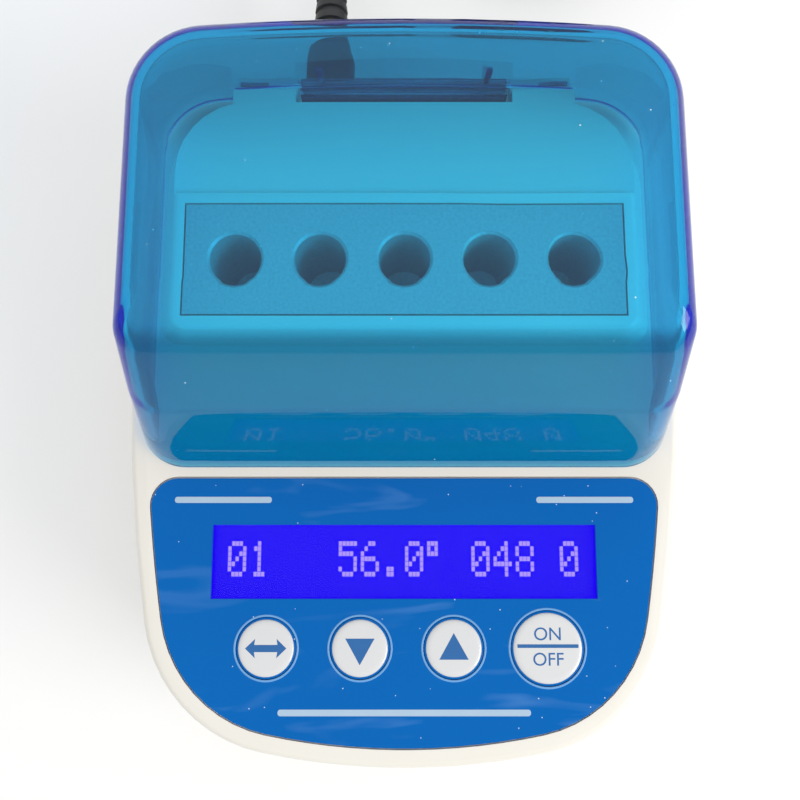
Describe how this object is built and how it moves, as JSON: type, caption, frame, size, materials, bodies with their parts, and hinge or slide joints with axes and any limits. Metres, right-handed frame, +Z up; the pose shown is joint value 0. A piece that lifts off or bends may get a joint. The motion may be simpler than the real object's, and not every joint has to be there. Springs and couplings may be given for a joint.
{
  "type": "biological indicator incubator",
  "caption": "Small bench incubator for indicator vials: heated drilled block under a hinged clear blue lid, with a display and keys in front and a supply lead behind.",
  "frame": {"origin": "bench plane under the centre of the housing, with the feet on it", "axes": "+Z up, -Y to the front with the keys, +Y to the rear with the hinge, +X to the user's right"},
  "size_m": [0.0994, 0.2643, 0.068],
  "materials": {
    "housing": "fine satin moulding",
    "lid_clear": "polished, transparent blue",
    "overlay": "printed film under clear polyester",
    "keycaps": "printed film over a dome",
    "lens": "polished, clear",
    "display": "lit liquid-crystal glass",
    "backlight": "white diffuser",
    "block": "blasted and drilled",
    "steel": "plated",
    "heater": "film heater on a plate",
    "foam": "silicone foam",
    "board": "green solder resist",
    "black": "moulded black",
    "lead_grey": "soft sleeve",
    "lead_red": "soft sleeve",
    "foot": "moulded rubber",
    "cord": "soft black jacket",
    "blades": "nickel plated"
  },
  "bodies": {
    "housing": {"top_cover": "housing", "bottom_cover": "housing", "hinge_pin": "steel", "heating_block": "block", "heater_plate": "heater", "insulation_pad": "foam", "clamp_plate": "steel", "clamp_screw_left": "steel", "clamp_screw_right": "steel", "thermal_cutoff": "black", "temperature_probe": "steel", "panel_overlay": "overlay", "display_lens": "lens", "switch_cycle": "black", "switch_down": "black", "switch_up": "black", "switch_start_stop": "black", "display_glass": "display", "display_backlight": "backlight", "control_board": "board", "main_board": "board", "supply_capacitor": "black", "heater_transistor": "black", "board_ribbon": "lead_grey", "heater_lead": "lead_red", "probe_lead": "lead_grey", "supply_lead": "black", "cover_screw_front_left": "steel", "cover_screw_front_right": "steel", "cover_screw_rear_left": "steel", "cover_screw_rear_right": "steel", "rubber_foot_front_left": "foot", "rubber_foot_front_right": "foot", "rubber_foot_rear_left": "foot", "rubber_foot_rear_right": "foot", "dc_socket": "black", "dc_plug": "black", "plug_strain_relief": "black", "supply_cord": "cord", "cord_coil": "cord", "adapter_cord": "cord", "mains_adapter": "black", "adapter_blade_left": "blades", "adapter_blade_right": "blades"},
    "lid": {"lid": "lid_clear"},
    "key_cycle": {"key_cycle": "keycaps"},
    "key_down": {"key_down": "keycaps"},
    "key_up": {"key_up": "keycaps"},
    "key_start_stop": {"key_start_stop": "keycaps"}
  },
  "joints": [
    {"name": "lid_hinge", "type": "hinge", "parent": "housing", "child": "lid", "pos_m": [0, 0.0589, 0.041], "axis": [-1, 0, 0], "range_deg": [0, 100]},
    {"name": "key_cycle_press", "type": "slide", "parent": "housing", "child": "key_cycle", "axis": [0, 0, -1], "range_m": [0, 0.0004], "stiffness_N_per_m": 4000},
    {"name": "key_down_press", "type": "slide", "parent": "housing", "child": "key_down", "axis": [0, 0, -1], "range_m": [0, 0.0004], "stiffness_N_per_m": 4000},
    {"name": "key_up_press", "type": "slide", "parent": "housing", "child": "key_up", "axis": [0, 0, -1], "range_m": [0, 0.0004], "stiffness_N_per_m": 4000},
    {"name": "key_start_stop_press", "type": "slide", "parent": "housing", "child": "key_start_stop", "axis": [0, 0, -1], "range_m": [0, 0.0004], "stiffness_N_per_m": 4000}
  ]
}
